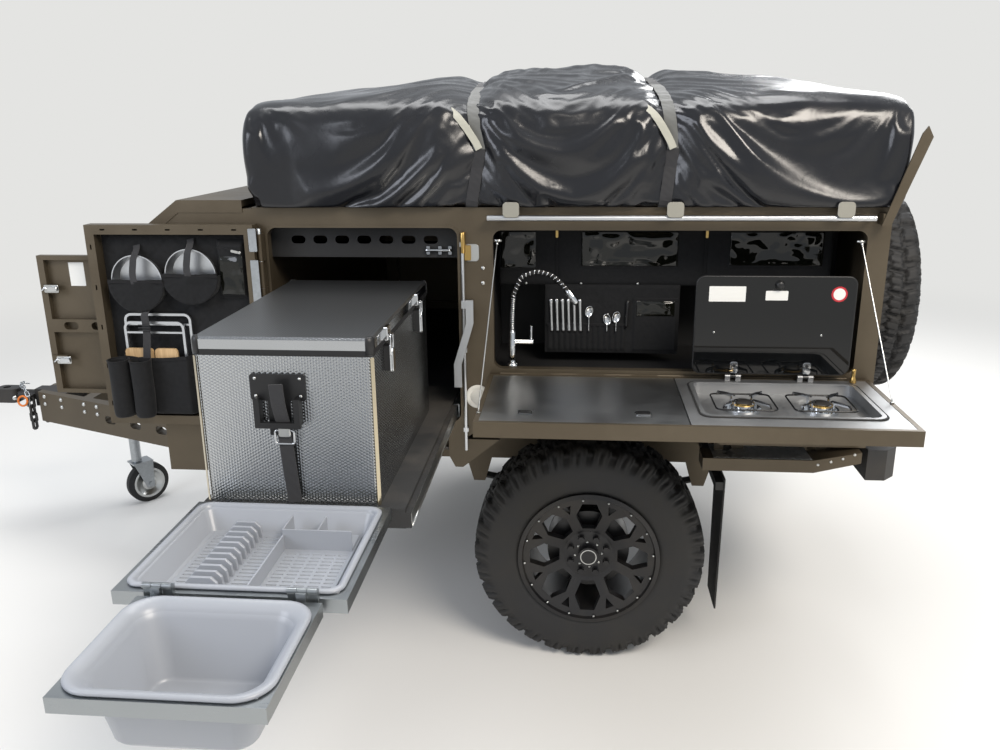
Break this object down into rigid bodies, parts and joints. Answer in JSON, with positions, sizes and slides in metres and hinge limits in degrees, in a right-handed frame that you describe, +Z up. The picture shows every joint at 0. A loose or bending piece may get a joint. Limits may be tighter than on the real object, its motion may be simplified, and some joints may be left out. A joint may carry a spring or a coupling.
{
  "type": "off-road camping trailer with slide-out fridge and kitchen",
  "caption": "Box-bodied off-road camping trailer on its jockey wheel, with a fold-down kitchen table, slide-out fridge with folding wash-up frames, and a covered roof tent.",
  "frame": {"origin": "centre of the upright pin bore of the tow coupling, 630 mm above the ground", "axes": "+X rearward along the drawbar, +Y to the right-hand side (the kitchen is on the left, at -Y), +Z up"},
  "size_m": [3.893, 3.399, 2],
  "materials": {
    "bronze": "satin metallic",
    "black_steel": "semi-gloss powder coat",
    "galvanised": "spangled zinc",
    "tyre": "matt",
    "rim": "satin black",
    "inner_panel": "textured black",
    "stainless": "brushed",
    "dimpled": "dimpled",
    "aluminium": "mill",
    "chrome": "polished",
    "grey_plastic": "satin",
    "black_plastic": "matt",
    "vinyl": "glossy coated cloth",
    "black_cloth": "woven",
    "lamp": "clear red",
    "rubber": "matt"
  },
  "bodies": {
    "root": {"awning_rail": "aluminium", "axle_beam": "black_steel", "body_ends": "bronze", "body_floor": "inner_panel", "body_side_left": "bronze", "body_side_right": "bronze", "chassis": "bronze", "corner_stays": "bronze", "coupling": "black_steel", "flap_hangers": "black_steel", "jockey_stand": "galvanised", "kitchen_organiser": "black_cloth", "kitchen_tap": "chrome", "leaf_springs": "black_steel", "lock_rod": "black_steel", "mud_flaps": "rubber", "mudguards": "bronze", "nose_box": "bronze", "organiser_rail": "black_steel", "pantry_shelf": "inner_panel", "partitions": "inner_panel", "rear_bumper": "black_steel", "rim_spare": "rim", "roof_deck": "bronze", "safety_chains": "galvanised", "slide_rails": "galvanised", "spare_carrier": "black_steel", "stay_cables": "galvanised", "tail_lamps": "lamp", "tent_cover": "vinyl", "tyre_spare": "tyre"},
    "wheel_left": {"tyre_left": "tyre", "rim_left": "rim"},
    "wheel_right": {"tyre_right": "tyre", "rim_right": "rim"},
    "jockey_fork": {"jockey_fork": "galvanised"},
    "jockey_wheel": {"jockey_wheel": "rubber"},
    "slide": {"slide_tray": "galvanised", "fridge_body": "dimpled", "fridge_fittings": "black_plastic", "rack_frame": "aluminium", "drainer": "grey_plastic"},
    "fridge_lid": {"fridge_lid": "dimpled"},
    "sink": {"sink_frame": "aluminium", "wash_tub": "grey_plastic"},
    "pantry_door": {"pantry_door": "bronze", "door_organiser": "black_cloth", "pans": "chrome", "camp_boards": "aluminium"},
    "nose_door": {"nose_door": "bronze"},
    "nose_lid": {"nose_lid": "bronze"},
    "kitchen_table": {"kitchen_table": "bronze", "bench_top": "stainless", "hob_panel": "aluminium", "hob_burners": "chrome"},
    "hob_lid": {"hob_lid": "black_plastic"},
    "side_hatch": {"side_hatch": "bronze"}
  },
  "joints": [
    {"name": "wheel_left_spin", "type": "hinge", "parent": "root", "child": "wheel_left", "pos_m": [2.646, -0.812, -0.236], "axis": [0, 1, 0], "continuous": true},
    {"name": "wheel_right_spin", "type": "hinge", "parent": "root", "child": "wheel_right", "pos_m": [2.646, 0.812, -0.236], "axis": [0, 1, 0], "continuous": true},
    {"name": "jockey_swivel", "type": "hinge", "parent": "root", "child": "jockey_fork", "pos_m": [0.447, 0.222, -0.406], "axis": [0, 0, 1], "continuous": true},
    {"name": "jockey_wheel_spin", "type": "hinge", "parent": "jockey_fork", "child": "jockey_wheel", "pos_m": [0.47271, 0.25264, -0.53], "axis": [0.766, -0.6428, 0], "continuous": true},
    {"name": "fridge_slide", "type": "slide", "parent": "root", "child": "slide", "axis": [0, -1, 0], "range_m": [-0.8, 0]},
    {"name": "fridge_lid_hinge", "type": "hinge", "parent": "slide", "child": "fridge_lid", "pos_m": [1.689, -1.31, 0.6665], "axis": [0, -1, 0], "range_deg": [0, 90]},
    {"name": "sink_fold", "type": "hinge", "parent": "slide", "child": "sink", "pos_m": [1.93, -2.135, 0.323], "axis": [1, 0, 0], "range_deg": [-180, 0]},
    {"name": "pantry_door_hinge", "type": "hinge", "parent": "root", "child": "pantry_door", "pos_m": [1.597, -0.926, 0.5505], "axis": [0, 0, -1], "range_deg": [-84, 0]},
    {"name": "nose_door_hinge", "type": "hinge", "parent": "root", "child": "nose_door", "pos_m": [1.192, -0.884, 0.541], "axis": [0, 0, -1], "range_deg": [-180, 0]},
    {"name": "nose_lid_hinge", "type": "hinge", "parent": "root", "child": "nose_lid", "pos_m": [1.548, 0, 0.96], "axis": [0, 1, 0], "range_deg": [0, 60]},
    {"name": "kitchen_table_hinge", "type": "hinge", "parent": "root", "child": "kitchen_table", "pos_m": [2.8925, -0.901, 0.401], "axis": [1, 0, 0], "range_deg": [-90, 0], "deforming": ["stay_cables"]},
    {"name": "hob_lid_hinge", "type": "hinge", "parent": "kitchen_table", "child": "hob_lid", "pos_m": [3.19, -0.938, 0.415], "axis": [-1, 0, 0], "range_deg": [-90, 0]},
    {"name": "side_hatch_hinge", "type": "hinge", "parent": "root", "child": "side_hatch", "pos_m": [2.545, 0.902, 0.868], "axis": [1, 0, 0], "range_deg": [0, 85]}
  ],
  "couplings": [
    {"joint": "nose_door_hinge", "follows": "pantry_door_hinge", "ratio": 2.14}
  ]
}
